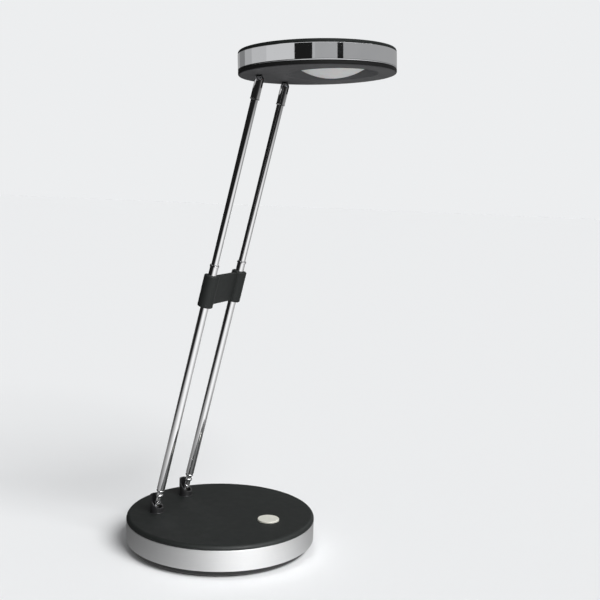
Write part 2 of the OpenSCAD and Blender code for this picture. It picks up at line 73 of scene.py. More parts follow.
baseRadius = width("trim_band") / 2
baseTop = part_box("top_cover")[1].z / mm
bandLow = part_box("trim_band")[0].z / mm
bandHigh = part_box("trim_band")[1].z / mm
rodY = middle("lower_tube_left").y / mm
buttonX = middle("button_cap").x / mm
headMiddle = middle("head_ring")
sides = {"left": 1, "right": -1}

cameraSpec = {
    "lens": 57.69,
    "place": (0.28813, -0.58361, 0.25105),
    "turn": 21.812,       # degrees towards -X from looking along +Y
    "dip": 6.906,         # degrees below level
    "roll": 1.772,
    "clipStart": 0.01,
}

lightSpec = {
    "floorColour": (0.83, 0.84, 0.85),
    "floorReach": 9,
    "sky": (0.845, 0.855, 0.865),
    "fill": 0.28,                # light from all round on matt surfaces
    "gloom": 0.012,              # what shiny surfaces see where there is no card
    "sunTurn": 44,               # degrees to the right of the camera
    "sunRise": 44,
    "sunAway": 2,
    "sunStrength": 3.28,
    "sunSpread": 34,
    "cardStrip": 4,              # degrees that one flat strip of a bent card covers
}

# What only shiny surfaces see: cards bent round the lamp from one turn to the next, each run
# from one distance and height to another, in metres from the middle line of the head.
cardSpec = {
    "ring": {"turns": (-176, -143, -121, -102, -73, -31), "glows": (0.36, 0.22, 0.42, 0.52, 0.60),
             "low": (0.40, 0.349), "high": (0.40, 0.43)},
    "ringMiddle": {"turns": (-7.5, -4, 25.5), "glows": (0.45, 0.38),
                   "low": (0.40, 0.349), "high": (0.40, 0.43)},
    "ringRight": {"turns": (33.5, 165), "glows": (0.355,), "low": (0.40, 0.349), "high": (0.40, 0.43)},
    "above": {"turns": (-180, -60, 60, 180), "glows": (0.08, 0.75, 0.35),
              "low": (0.40, 0.43), "high": (0.32, 0.66)},
    "below": {"turns": (-180, -35), "glows": (0.012,), "low": (0.115, 0.262), "high": (0.115, 0.3288)},
    "side": {"turns": (80, 165), "glows": (1.8,), "low": (1.50, 0.75), "high": (1.30, 1.90)},
    "back": {"turns": (150, 205), "glows": (0.25,), "low": (1.60, 0.25), "high": (1.55, 0.75)},
    "window": {"turns": (8, 62), "glows": (15.0,), "low": (1.50, 0.72), "high": (1.30, 1.80)},
}

poolSpec = {
    "lift": 0.001,               # height over the floor
    "glow": 1.06,
    "beam": (28, 3.7),           # turn where the pool of light is brightest, and its fall-off
    "least": 0.38,               # how much is left on the far side
    "middle": (90, 0.26),        # turn and distance of its middle
    "fade": (0.36, 1.16),        # it fades between these distances, in metres
    "far": (150, 2.6, 0.32),     # turn, fall-off and share of the fainter light beyond
}

# painted shade spots in the pool, the first for the base's own shadow to its left: turn and distance of a spot's
# middle, the distances from there between which it fades out, and the share of light left in it
shadeSpec = (
    (-125, 0.20, (0.05, 0.30), 0.35),
    (135, 0.10, (0.03, 0.13), 0.4),
    (123, 0.98, (0.2, 0.6), 0.6),
)


def viewAxes():
    turn, dip, roll = (math.radians(cameraSpec[key]) for key in ("turn", "dip", "roll"))
    ahead = Vector((-math.sin(turn) * math.cos(dip), math.cos(turn) * math.cos(dip), -math.sin(dip)))
    right = Vector((math.cos(turn), math.sin(turn), 0))
    up = right.cross(ahead)
    rolledRight = math.cos(roll) * right + math.sin(roll) * up
    rolledUp = math.cos(roll) * up - math.sin(roll) * right
    return ahead, rolledRight, rolledUp


def placeCamera():
    ahead, right, up = viewAxes()
    camera = bpy.data.objects.new("camera", bpy.data.cameras.new("camera"))
    bpy.context.scene.collection.objects.link(camera)
    camera.data.lens = cameraSpec["lens"]
    camera.data.clip_start = cameraSpec["clipStart"]
    turned = Matrix((right, up, -ahead)).transposed()
    camera.matrix_world = Matrix.Translation(cameraSpec["place"]) @ turned.to_4x4()
    bpy.context.scene.camera = camera


def fromView(turn, rise):
    # a direction from the lamp, turned to the right of the camera and raised, in degrees
    angle = math.radians(cameraSpec["turn"] - 90 + turn)
    rise = math.radians(rise)
    return Vector((math.cos(angle) * math.cos(rise), math.sin(angle) * math.cos(rise), math.sin(rise)))


def facing(place, target):
    return (Vector(target) - Vector(place)).to_track_quat("-Z", "Y").to_euler()


def hideCard(card):
    card.visible_camera = False
    card.visible_diffuse = False
    card.visible_shadow = False
    card.visible_transmission = False


def beamField(paint, turn, power):
    # 1 on the turn's side of the lamp, falling to 0 on the other side
    flat = paint.node("ShaderNodeVectorMath", {"operation": "NORMALIZE"}, {0: paint.place(scale=(1, 1, 0))})
    lean = paint.node("ShaderNodeVectorMath", {"operation": "DOT_PRODUCT"},
                      {0: flat, 1: fromView(turn, 0)}, "Value")
    return paint.node("ShaderNodeMath", {"operation": "POWER"}, {0: 0.5 + 0.5 * lean, 1: power})


def fadeField(paint, centre, ends, near, far):
    # goes from the near value to the far one between two distances from the centre
    distance = paint.node("ShaderNodeVectorMath", {"operation": "LENGTH"},
                          {0: paint.place(centre=centre)}, "Value")
    return paint.node("ShaderNodeMapRange", {"interpolation_type": "SMOOTHSTEP"},
                      {"Value": distance, 1: ends[0], 2: ends[1], 3: near, 4: far})


def makeCard(name, turns, glows, low, high):
    for number, glow in enumerate(glows):
        clearSelection()
        first, last = turns[number:number + 2]
        strips = max(2, int((last - first) / lightSpec["cardStrip"]))
        bpy.ops.mesh.primitive_grid_add(x_subdivisions=strips, y_subdivisions=1, size=1)
        card = bpy.context.object
        card.name = name + str(number)
        for point in card.data.vertices:
            along, up = point.co.x + 0.5, point.co.y + 0.5
            turn = first + (last - first) * along
            away = low[0] + (high[0] - low[0]) * up
            place = Vector((headMiddle.x, 0, 0)) + fromView(turn, 0) * away
            point.co = (place.x, place.y, low[1] + (high[1] - low[1]) * up)
        paint = Finish(card.name)
        paint.close(paint.node("ShaderNodeEmission", {}, {"Strength": glow}))
        card.data.materials.append(paint.material)
        hideCard(card)


def makePool():
    # a soft pool of light that shiny surfaces see on the floor, with painted shade spots in it
    spec = poolSpec
    clearSelection()
    bpy.ops.mesh.primitive_plane_add(size=2 * lightSpec["floorReach"], location=(0, 0, spec["lift"]))
    pool = bpy.context.object
    pool.name = "pool"
    bpy.ops.object.transform_apply(location=True, rotation=True, scale=True)
    paint = Finish("poolPaint")
    turn, away = spec["middle"]
    centre = Vector((headMiddle.x, 0, 0)) + fromView(turn, 0) * away
    level = spec["least"] + (1 - spec["least"]) * beamField(paint, *spec["beam"])
    level = level * fadeField(paint, centre, spec["fade"], 1.0, 0.0)
    for turn, away, ends, left in shadeSpec:
        level = level * fadeField(paint, fromView(turn, 0) * away, ends, left, 1.0)
    turn, power, share = spec["far"]
    level = level + fadeField(paint, centre, spec["fade"], 0.0, share) * beamField(paint, turn, power)
    dark = paint.node("ShaderNodeEmission", {}, {"Strength": lightSpec["gloom"]})
    bright = paint.node("ShaderNodeEmission", {}, {"Strength": spec["glow"]})
    paint.close(paint.node("ShaderNodeMixShader", {}, {0: level, 1: dark, 2: bright}))
    pool.data.materials.append(paint.material)
    hideCard(pool)


def setLights():
    spec = lightSpec
    bpy.context.scene.view_settings.view_transform = "Standard"
    light = bpy.data.lights.new("sun", "SUN")
    light.energy = spec["sunStrength"]
    light.angle = math.radians(spec["sunSpread"])
    sun = bpy.data.objects.new("sun", light)
    bpy.context.scene.collection.objects.link(sun)
    sun.location = fromView(spec["sunTurn"], spec["sunRise"]) * spec["sunAway"]
    sun.rotation_euler = facing(sun.location, (0, 0, 0))
    sun.visible_glossy = False
    world = bpy.data.worlds.new("studio")
    world.use_nodes = True
    bpy.context.scene.world = world
    room = NodeTable(world.node_tree)
    sky = room.node("ShaderNodeBackground", {}, {"Color": (*spec["sky"], 1)})
    fill = room.node("ShaderNodeBackground", {}, {"Color": (1, 1, 1, 1), "Strength": spec["fill"]})
    gloom = room.node("ShaderNodeBackground", {}, {"Color": (1, 1, 1, 1), "Strength": spec["gloom"]})
    shiny = room.node("ShaderNodeLightPath", output="Is Glossy Ray")
    seen = room.node("ShaderNodeLightPath", output="Is Camera Ray")
    around = room.node("ShaderNodeMixShader", {}, {0: shiny, 1: fill, 2: gloom})
    room.close(room.node("ShaderNodeMixShader", {}, {0: seen, 1: around, 2: sky}))


def makeFloor():
    clearSelection()
    bpy.ops.mesh.primitive_plane_add(size=2 * lightSpec["floorReach"])
    floor = bpy.context.object
    floor.name = "floor"
    colour = (*lightSpec["floorColour"], 1)
    paint = Finish("floorPaint", {"Base Color": colour, "Specular IOR Level": 0.0})
    paint.set("Roughness", 0.5 + 0.1 * paint.noise(6, 3))
    floor.data.materials.append(paint.material)


class Field:
    # a value that varies over a surface, so that sums can be written plainly
    def __init__(self, table, socket):
        self.table = table
        self.socket = socket

    def maths(self, operation, first, second):
        return self.table.node("ShaderNodeMath", {"operation": operation}, {0: first, 1: second})

    def __add__(self, other):
        return self.maths("ADD", self, other)

    def __radd__(self, other):
        return self.maths("ADD", other, self)

    def __mul__(self, other):
        return self.maths("MULTIPLY", self, other)

    def __rmul__(self, other):
        return self.maths("MULTIPLY", other, self)


class NodeTable:
    def __init__(self, tree):
        self.nodes = tree.nodes
        self.links = tree.links

    def plug(self, target, value):
        if isinstance(value, Field):
            self.links.new(value.socket, target)
        else:
            target.default_value = value

    def node(self, kind, settings=None, values=None, output=0):
        made = self.nodes.new(kind)
        for setting, value in (settings or {}).items():
            setattr(made, setting, value)
        for socketName, value in (values or {}).items():
            self.plug(made.inputs[socketName], value)
        return Field(self, made.outputs[output])

    def close(self, surface):
        ends = [node for node in self.nodes if node.type.startswith("OUTPUT")]
        self.plug(ends[0].inputs["Surface"], surface)


class Finish(NodeTable):
    def __init__(self, name, constants=None):
        self.material = bpy.data.materials.new(name)
        self.material.use_nodes = True
        super().__init__(self.material.node_tree)
        self.shader = self.nodes["Principled BSDF"]
        for socketName, value in (constants or {}).items():
            self.shader.inputs[socketName].default_value = value

    def set(self, socketName, value):
        self.plug(self.shader.inputs[socketName], value)

    def place(self, turn=(0, 0, 0), scale=(1, 1, 1), centre=(0, 0, 0)):
        # the piece's own coordinates, moved to a centre, turned and scaled
        here = self.node("ShaderNodeTexCoord", output="Object")
        moved = self.node("ShaderNodeVectorMath", {"operation": "SUBTRACT"}, {0: here, 1: centre})
        values = {"Vector": moved, "Rotation": turn, "Scale": scale}
        return self.node("ShaderNodeMapping", {}, values, "Vector")

    def noise(self, scale, detail, where=None):
        values = {"Vector": where or self.place(), "Scale": scale, "Detail": detail}
        return self.node("ShaderNodeTexNoise", {}, values, "Fac")

    def colours(self, factor, first, second):
        values = {0: factor, 6: (*first, 1), 7: (*second, 1)}
        return self.node("ShaderNodeMix", {"data_type": "RGBA"}, values, 2)

    def bump(self, height, strength, distance):
        values = {"Height": height, "Strength": strength, "Distance": distance}
        self.set("Normal", self.node("ShaderNodeBump", {}, values, "Normal"))


def softBlack(name="softBlack", gloss=0.3):
    paint = Finish(name, {"Specular IOR Level": gloss})
    cloud = paint.noise(22, 3)
    fine = paint.noise(3600, 2)
    paint.set("Base Color", paint.colours(cloud, (0.0095, 0.0112, 0.0107), (0.0133, 0.0160, 0.0152)))
    paint.set("Roughness", 0.44 + 0.16 * paint.noise(160, 4) + 0.06 * fine)
    paint.bump(fine, 0.25, 0.00006)
    return paint.material


def satinBlack():
    paint = Finish("satinBlack", {"Specular IOR Level": 0.5})
    fine = paint.noise(2600, 2)
    cloud = paint.noise(30, 3)
    paint.set("Base Color", paint.colours(cloud, (0.013, 0.013, 0.014), (0.022, 0.022, 0.023)))
    paint.set("Roughness", 0.34 + 0.12 * paint.noise(210, 4))
    paint.bump(fine, 0.2, 0.00005)
    return paint.material


# painted shade: the head's lower rim is darkened in its colour, for the shade on that side, which faces away from
# the bright floor
paintedRimShade = {
    "colour": (0.009, 0.009, 0.009),
    "heights": (0.0001, 0.0006),     # the painted shade comes in between these heights over the underside
    "distances": (0.046, 0.048),     # and between these distances from its middle, in metres
}


def headGreyPaintedRimShade():
    # the flat underside is grey; the rounded rim above it, up to the chrome ring, is painted nearly black as
    # shade, since that side faces away from the bright floor
    paint = Finish("headGreyPaintedRimShade", {"Specular IOR Level": 0.08})
    low, high = paintedRimShade["heights"]
    fine = paint.noise(3600, 2)
    axis = onHead().to_3x3() @ Vector((0, 0, 1))
    under = onHead() @ Vector((0, 0, -headSpec["rim"] * mm))
    height = paint.node("ShaderNodeVectorMath", {"operation": "DOT_PRODUCT"},
                        {0: paint.place(centre=under), 1: axis}, "Value")
    # mask of the painted rim shade
    rim = paint.node("ShaderNodeMapRange", {}, {"Value": height, 1: low, 2: high, 3: 0.0, 4: 1.0})
    rim = rim * fadeField(paint, under, paintedRimShade["distances"], 0.0, 1.0)
    grey = paint.colours(paint.noise(22, 3), (0.070, 0.070, 0.072), (0.086, 0.086, 0.088))
    values = {0: rim, 6: grey, 7: (*paintedRimShade["colour"], 1)}
    paint.set("Base Color", paint.node("ShaderNodeMix", {"data_type": "RGBA"}, values, 2))
    paint.set("Roughness", 0.44 + 0.16 * paint.noise(160, 4) + 0.06 * fine)
    paint.bump(fine, 0.3, 0.00006)
    return paint.material


def brushedBand():
    # fine lines run round the band, so its highlights stretch upwards
    paint = Finish("brushedBand", {"Metallic": 1.0, "Anisotropic": 0.35, "Anisotropic Rotation": 0.25})
    lines = paint.noise(900, 3, paint.place(scale=(0.05, 0.05, 6)))
    paint.set("Base Color", paint.colours(lines, (0.64, 0.645, 0.65), (0.73, 0.735, 0.74)))
    paint.set("Roughness", 0.46 + 0.10 * paint.noise(240, 4) + 0.06 * lines)
    paint.bump(lines, 0.06, 0.00003)
    return paint.material


def buttonSilver():
    paint = Finish("buttonSilver", {"Metallic": 0.1, "Specular IOR Level": 0.6})
    fine = paint.noise(4200, 2)
    paint.set("Base Color", paint.colours(paint.noise(120, 4), (0.68, 0.68, 0.61), (0.76, 0.75, 0.68)))
    paint.set("Roughness", 0.30 + 0.12 * paint.noise(400, 4))
    paint.bump(fine, 0.12, 0.00004)
    return paint.material


def polishedChrome():
    paint = Finish("polishedChrome", {"Metallic": 1.0})
    alongArm = paint.place(turn=(0, -armLean, 0), scale=(1, 1, 0.03))
    lines = paint.noise(2400, 2, alongArm)
    smudge = paint.noise(90, 4)
    paint.set("Base Color", paint.colours(smudge, (0.86, 0.86, 0.87), (0.93, 0.93, 0.94)))
    paint.set("Roughness", 0.035 + 0.05 * smudge * lines)
    return paint.material


def ringChrome():
    paint = Finish("ringChrome", {"Metallic": 1.0})
    lines = paint.noise(1300, 2, paint.place(scale=(1, 1, 0.04)))
    smudge = paint.noise(60, 4)
    paint.set("Base Color", paint.colours(smudge, (0.84, 0.85, 0.87), (0.90, 0.91, 0.93)))
    paint.set("Roughness", 0.03 + 0.05 * smudge * lines)
    paint.bump(lines, 0.03, 0.00003)
    return paint.material


def metal(name, dark, light, rough, scale=900):
    paint = Finish(name, {"Metallic": 1.0})
    grain = paint.noise(scale, 4)
    paint.set("Base Color", paint.colours(grain, dark, light))
    paint.set("Roughness", rough + 0.12 * paint.noise(240, 4))
    paint.bump(grain, 0.15, 0.00003)
    return paint.material


def moulded(name, dark, light, rough, scale=1500):
    paint = Finish(name)
    grain = paint.noise(scale, 3)
    paint.set("Base Color", paint.colours(paint.noise(45, 3), dark, light))
    paint.set("Roughness", rough + 0.14 * grain)
    paint.bump(grain, 0.2, 0.00005)
    return paint.material


def frostedLens():
    paint = Finish("frostedLens", {"Subsurface Weight": 0.25, "Subsurface Scale": 0.004})
    frost = paint.noise(4200, 2)
    paint.set("Base Color", paint.colours(paint.noise(40, 3), (0.60, 0.60, 0.59), (0.66, 0.66, 0.65)))
    paint.set("Roughness", 0.38 + 0.12 * frost)
    paint.bump(frost, 0.12, 0.00004)
    return paint.material


def makeFinishes():
    return {
        "soft_black_plastic": softBlack(),
        "satin_black_plastic": satinBlack(),
        "head_grey_plastic": headGreyPaintedRimShade(),
        "satin_band": brushedBand(),
        "button_silver": buttonSilver(),
        "chrome": polishedChrome(),
        "plain_steel": metal("plainSteel", (0.42, 0.42, 0.43), (0.58, 0.58, 0.60), 0.3),
        "brass": metal("brass", (0.62, 0.46, 0.20), (0.80, 0.63, 0.32), 0.24),
        "foot_rubber": moulded("footRubber", (0.018, 0.018, 0.018), (0.034, 0.034, 0.034), 0.68, 700),
        "board": moulded("boardGreen", (0.02, 0.12, 0.05), (0.03, 0.17, 0.07), 0.3, 500),
        "white_plastic": moulded("whitePlastic", (0.78, 0.78, 0.76), (0.86, 0.86, 0.84), 0.35),
        "frosted_lens": frostedLens(),
        "led_yellow": moulded("ledYellow", (0.70, 0.52, 0.10), (0.85, 0.66, 0.18), 0.4, 3000),
        "heat_aluminium": metal("heatAluminium", (0.60, 0.60, 0.61), (0.74, 0.74, 0.76), 0.3, 400),
        "wire_cover": moulded("wireCover", (0.02, 0.02, 0.02), (0.05, 0.05, 0.05), 0.45, 1200),
    }


def clearSelection():
    if bpy.context.mode != "OBJECT":
        bpy.ops.object.mode_set(mode="OBJECT")
    bpy.ops.object.select_all(action="DESELECT")


def selectOnly(piece):
    clearSelection()
    piece.select_set(True)
    bpy.context.view_layer.objects.active = piece


def arc(middleR, middleZ, radius, start, end, steps=8):
    # points of a round stretch of an outline, by angle from outwards (0) to up (90)
    points = []
    for step in range(steps + 1):
        angle = math.radians(start + (end - start) * step / steps)
        points.append((middleR + radius * math.cos(angle), middleZ + radius * math.sin(angle)))
    return points


weldGap = 0.002        # points closer than this, in millimetres, become one


def turnOutline(name, outline, steps):
    # spins an outline of (radius, height) points in millimetres round the Z axis
    clearSelection()
    bpy.ops.mesh.primitive_plane_add(size=mm)
    piece = bpy.context.object
    piece.name = name
    bpy.ops.object.mode_set(mode="EDIT")
    bpy.ops.mesh.merge(type="CENTER")
    radius, height = outline[0]
    bpy.ops.transform.translate(value=(radius * mm, 0, height * mm))
    for nextRadius, nextHeight in outline[1:]:
        step = ((nextRadius - radius) * mm, 0, (nextHeight - height) * mm)
        bpy.ops.mesh.extrude_region_move(TRANSFORM_OT_translate={"value": step})
        radius, height = nextRadius, nextHeight
    bpy.ops.mesh.select_all(action="SELECT")
    bpy.ops.mesh.spin(steps=steps, angle=2 * math.pi, center=(0, 0, 0), axis=(0, 0, 1))
    bpy.ops.mesh.select_all(action="SELECT")
    bpy.ops.mesh.remove_doubles(threshold=weldGap * mm)
    bpy.ops.mesh.normals_make_consistent(inside=False)
    bpy.ops.object.mode_set(mode="OBJECT")
    return piece


def turnRing(name, outline, steps):
    # the same for an outline that doesn't touch the axis and closes on itself
    return turnOutline(name, outline + outline[:1], steps)


def block(name, low, high):
    clearSelection()
    size = [(top - bottom) * mm for bottom, top in zip(low, high)]
    centre = [(top + bottom) / 2 * mm for bottom, top in zip(low, high)]
    bpy.ops.mesh.primitive_cube_add(size=1, location=centre, scale=size)
    piece = bpy.context.object
    piece.name = name
    bpy.ops.object.transform_apply(location=True, rotation=True, scale=True)
    return piece


def bar(name, radius, length, place=(0, 0, 0), along="Z", steps=64):
    clearSelection()
    turn = {"X": (0, math.pi / 2, 0), "Y": (math.pi / 2, 0, 0), "Z": (0, 0, 0)}[along]
    bpy.ops.mesh.primitive_cylinder_add(vertices=steps, radius=radius * mm, depth=length * mm,
                                        location=[part * mm for part in place], rotation=turn)
    piece = bpy.context.object
    piece.name = name
    bpy.ops.object.transform_apply(location=True, rotation=True, scale=True)
    return piece


def applyModifier(piece, name, kind, **settings):
    selectOnly(piece)
    modifier = piece.modifiers.new(name, kind)
    for setting, value in settings.items():
        setattr(modifier, setting, value)
    bpy.ops.object.modifier_apply(modifier=name)


def combine(piece, tools, operation="DIFFERENCE"):
    for tool in tools:
        applyModifier(piece, "combine", "BOOLEAN", operation=operation, solver="EXACT", object=tool)
        bpy.data.objects.remove(tool)


flatAngle = 0.5        # faces that lean less than this against each other, in degrees, are one plane
smoothAngle = 32       # edges sharper than this, in degrees, stay sharp


def flattenFaces(piece):
    # faces in one plane become one face, so that a bevel runs cleanly round a hole in it
    selectOnly(piece)
    bpy.ops.object.mode_set(mode="EDIT")
    bpy.ops.mesh.select_all(action="SELECT")
    bpy.ops.mesh.dissolve_limited(angle_limit=math.radians(flatAngle))
    bpy.ops.object.mode_set(mode="OBJECT")
    return piece


def softenEdges(piece, size, segments=2, angle=40):
    applyModifier(piece, "soften", "BEVEL", width=size * mm, segments=segments, limit_method="ANGLE",
                  angle_limit=math.radians(angle), use_clamp_overlap=True)


def movePiece(piece, matrix):
    selectOnly(piece)
    piece.matrix_world = matrix
    bpy.ops.object.transform_apply(location=True, rotation=True, scale=True)
    return piece


def copyPiece(piece, name):
    selectOnly(piece)
    bpy.ops.object.duplicate(linked=False)
    twin = bpy.context.object
    twin.name = name
    return twin


def onArm(side=0):
    # the arm's own frame: its Z axis runs from the lower hinge to the upper one
    shift = Vector((0, side * rodY * mm, 0))
    return Matrix.Translation(armFoot + shift) @ Matrix.Rotation(armLean, 4, "Y")


def onHead():
    # the head's own frame: the middle of the chrome ring's lower edge
    tilt = Matrix.Rotation(-math.radians(headSpec["tilt"]), 4, "Y")
    lift = Matrix.Translation((0, 0, -headSpec["ringHeight"] / 2 * mm))
    return Matrix.Translation(headMiddle) @ tilt @ lift


def finishPiece(piece, slot, body, *nodes):
    # evens the shading, paints the piece, ties it to its body and puts it in the CAD nodes' place
    selectOnly(piece)
    bpy.ops.object.shade_smooth_by_angle(angle=math.radians(smoothAngle))
    applyModifier(piece, "evenShading", "WEIGHTED_NORMAL", keep_sharp=True)
    piece.data.materials.clear()
    piece.data.materials.append(finishes[slot])
    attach(piece, body)
    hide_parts(*nodes)


coverSpec = {
    "edgeRound": 2.6,      # rounded edge round the flat top
    "skin": 2.0,
    "skirtGap": 1.35,      # from the band's face to the skirt's face
    "skirtDrop": 2.0,
    "lip": 0.12,           # blunted lower edge
    "buttonHole": 7.7,
    "podHole": 4.65,
    "holeRound": 0.2,
    "cutter": 12,          # length of the cutting bars
}


def makeTopCover():
    spec = coverSpec
    edge = spec["edgeRound"]
    skirt = baseRadius - spec["skirtGap"]
    inner = skirt - spec["skin"]
    outline = [(0, baseTop)]
    outline += arc(baseRadius - edge, baseTop - edge, edge, 90, 0)
    outline += [(baseRadius, bandHigh + spec["lip"]), (baseRadius - spec["lip"], bandHigh), (skirt, bandHigh)]
    outline += [(skirt, bandHigh - spec["skirtDrop"]), (inner, bandHigh - spec["skirtDrop"])]
    outline += [(inner, baseTop - spec["skin"]), (0, baseTop - spec["skin"])]
    cover = flattenFaces(turnOutline("topCover", outline, 160))
    holes = [bar("hole", spec["buttonHole"], spec["cutter"], (buttonX, 0, baseTop), steps=96)]
    for side in sides.values():
        place = (armFoot.x / mm, side * rodY, baseTop)
        holes.append(bar("hole", spec["podHole"], spec["cutter"], place, steps=64))
    combine(cover, holes)
    softenEdges(cover, spec["holeRound"], 3, 50)
    finishPiece(cover, "soft_black_plastic", "base", "top_cover")


bandSpec = {"wall": 1.3, "edgeRound": 0.4, "inletHole": 4.25, "inletHeight": 12, "cutter": 8}


def inletCutter():
    spec = bandSpec
    return bar("hole", spec["inletHole"], spec["cutter"], (-baseRadius, 0, spec["inletHeight"]), "X")


def makeTrimBand():
    spec = bandSpec
    edge = spec["edgeRound"]
    outline = arc(baseRadius - edge, bandLow + edge, edge, -90, 0, 4)
    outline += arc(baseRadius - edge, bandHigh - edge, edge, 0, 90, 4)
    outline += [(baseRadius - spec["wall"], bandHigh), (baseRadius - spec["wall"], bandLow)]
    band = turnRing("trimBand", outline, 192)
    combine(band, [inletCutter()])
    finishPiece(band, "satin_band", "base", "trim_band")


panSpec = {
    "under": 1.0,          # height of the pan's underside
    "padRecess": 57.05,
    "padTop": 1.4,
    "footInset": 3,
    "footRound": 1.2,
    "floorTop": 3,
    "wall": 2,
    "wallTop": 17,
    "screwCircle": 50,
    "screwTurns": (0, 120, 240),
    "boss": (4.4, 3.5, 4.25),      # radius, length and middle height of a round shape at each screw
    "headWell": (3.2, 4, 2),
    "screwWell": (1.65, 8, 4),
}


def screwBars(name, radius, length, height):
    bars = []
    for turn in panSpec["screwTurns"]:
        angle = math.radians(turn)
        place = (panSpec["screwCircle"] * math.cos(angle), panSpec["screwCircle"] * math.sin(angle), height)
        bars.append(bar(name, radius, length, place))
    return bars


def makeBottomPan():
    spec = panSpec
    foot = baseRadius - spec["footInset"]
    shell = baseRadius - coverSpec["skirtGap"]
    inner = shell - spec["wall"]
    recess, under, edge = spec["padRecess"], spec["under"], spec["footRound"]
    outline = [(0, spec["padTop"]), (recess, spec["padTop"]), (recess, under)]
    outline += arc(foot - edge, under + edge, edge, -90, 0, 5)
    outline += [(foot, bandLow), (shell, bandLow), (shell, spec["wallTop"]), (inner, spec["wallTop"])]
    outline += [(inner, spec["floorTop"]), (0, spec["floorTop"])]
    pan = flattenFaces(turnOutline("bottomPan", outline, 160))
    combine(pan, screwBars("boss", *spec["boss"]), "UNION")
    wells = screwBars("well", *spec["headWell"]) + screwBars("well", *spec["screwWell"])
    combine(pan, wells + [inletCutter()])
    finishPiece(pan, "satin_black_plastic", "base", "bottom_pan")


padSpec = {
    "radius": 57,
    "thickness": 1.4,
    "edgeRound": 0.3,
    "grooves": (20, 32, 44),
    "grooveWidth": 0.6,
    "grooveDepth": 0.4,
    "screwHole": (3.8, 6, 0),
}


def makeFootPad():
    spec = padSpec
    edge = spec["edgeRound"]
    outline = [(0, 0)]
    for inner in spec["grooves"]:
        outer = inner + spec["grooveWidth"]
        outline += [(inner, 0), (inner, spec["grooveDepth"]), (outer, spec["grooveDepth"]), (outer, 0)]
    outline += arc(spec["radius"] - edge, edge, edge, -90, 0, 3)
    outline += [(spec["radius"], spec["thickness"]), (0, spec["thickness"])]
    pad = flattenFaces(turnOutline("footPad", outline, 160))
    combine(pad, screwBars("hole", *spec["screwHole"]))
    finishPiece(pad, "foot_rubber", "base", "foot_pad")


podSpec = {
    "radius": 4.6,
    "bore": 3.7,
    "height": 12.4,
    "floor": 0.6,
    "flange": 7.4,
    "flangeHeight": 1.6,
    "lift": 0.02,          # of the round blend over the cover
    "flare": 0.4,          # round blend where the pod meets the cover
    "rimRound": 0.42,
    "scoop": 11.2,         # radius of the bar that cuts the pod's open front
    "scoopWidth": 40,
    "scoopPlace": (8.3, 13.8),
}


def makePods():
    spec = podSpec
    radius, flare, lift = spec["radius"], spec["flare"], spec["lift"]
    flangeTop = baseTop - coverSpec["skin"]
    flangeLow = flangeTop - spec["flangeHeight"]
    outline = [(0, flangeLow), (spec["flange"], flangeLow), (spec["flange"], flangeTop)]
    outline += [(radius, flangeTop), (radius, baseTop + lift)]
    outline += arc(radius + flare, baseTop + flare + lift, flare, 270, 180, 8)
    outline += [(radius, baseTop + spec["height"]), (spec["bore"], baseTop + spec["height"])]
    outline += [(spec["bore"], baseTop + spec["floor"]), (0, baseTop + spec["floor"])]
    scoopX, scoopZ = spec["scoopPlace"]
    pod = turnOutline("pod", outline, 96)
    combine(pod, [bar("scoop", spec["scoop"], spec["scoopWidth"], (scoopX, 0, baseTop + scoopZ), "Y", 160)])
    softenEdges(pod, spec["rimRound"], 3, 45)
    for name, side in sides.items():
        twin = copyPiece(pod, "pivotPod" + name.capitalize())
        movePiece(twin, Matrix.Translation((armFoot.x, side * rodY * mm, 0)))
        finishPiece(twin, "satin_black_plastic", "base", "pivot_pod_" + name)
    bpy.data.objects.remove(pod)


buttonSpec = {
    "radius": 7.4,
    "proud": 1.0,
    "edgeRound": 0.55,
    "sags": (0.12, 0.09),  # how deep the top is hollowed in its middle and half-way out
    "flange": 8.8,
    "flangeGap": 0.2,
    "flangeHeight": 1,
    "stem": 2.0,
    "stemEnd": 16.0,
}


def makeButton():
    spec = buttonSpec
    radius, edge = spec["radius"], spec["edgeRound"]
    top = baseTop + spec["proud"]
    flangeTop = baseTop - coverSpec["skin"] - spec["flangeGap"]
    flangeLow = flangeTop - spec["flangeHeight"]
    outline = [(radius * step / 2, top - sag) for step, sag in enumerate(spec["sags"])]
    outline += arc(radius - edge, top - edge, edge, 90, 0, 6)
    outline += [(radius, flangeTop), (spec["flange"], flangeTop), (spec["flange"], flangeLow)]
    outline += [(spec["stem"], flangeLow), (spec["stem"], spec["stemEnd"]), (0, spec["stemEnd"])]
    button = turnOutline("pushButton", outline, 96)
    movePiece(button, Matrix.Translation((buttonX * mm, 0, 0)))
    finishPiece(button, "button_silver", "button", "button_cap")


springSpec = {
    "radius": 3.2,
    "wire": 0.25,
    "wireSides": 12,
    "turns": 3,
    "steps": 32,           # in each turn
    "endRoom": 1.01,       # from a coil end's middle to the seat, in wire radii
    "travel": 1.0,
}


